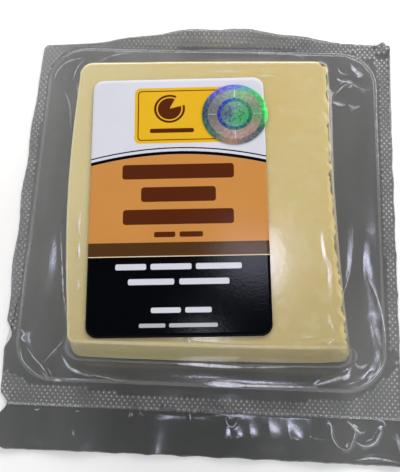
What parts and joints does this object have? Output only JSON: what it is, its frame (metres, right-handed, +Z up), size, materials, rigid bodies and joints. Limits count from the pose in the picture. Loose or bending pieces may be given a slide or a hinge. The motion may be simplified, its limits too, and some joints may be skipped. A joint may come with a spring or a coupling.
{
  "type": "vacuum packed cheddar block",
  "caption": "Pale cheddar block sealed in clear film with a knurled seal border, a printed paper label and a round foil sticker on top, lying flat",
  "frame": {"origin": "middle of the pack's box, on the table under it", "axes": "+X to the pack's right, +Y to its back edge, +Z up through the label"},
  "size_m": [0.1186, 0.1386, 0.0234],
  "materials": {
    "back_web": "smoky grey back web, knurled where it is sealed",
    "cheddar": "pale yellow cheddar, slightly moist, knife-cut with a crumbled side (stands in for food)",
    "clear_film": "clear glossy film, creased at its corners (stands in for thin clear plastic)",
    "label_paper": "coated printed paper with white, orange, brown and black fields",
    "foil": "patterned rainbow foil"
  },
  "bodies": {
    "root": {"base_web": "back_web", "cheese_block": "cheddar", "top_film": "clear_film", "label": "label_paper", "round_sticker": "foil"}
  },
  "joints": []
}
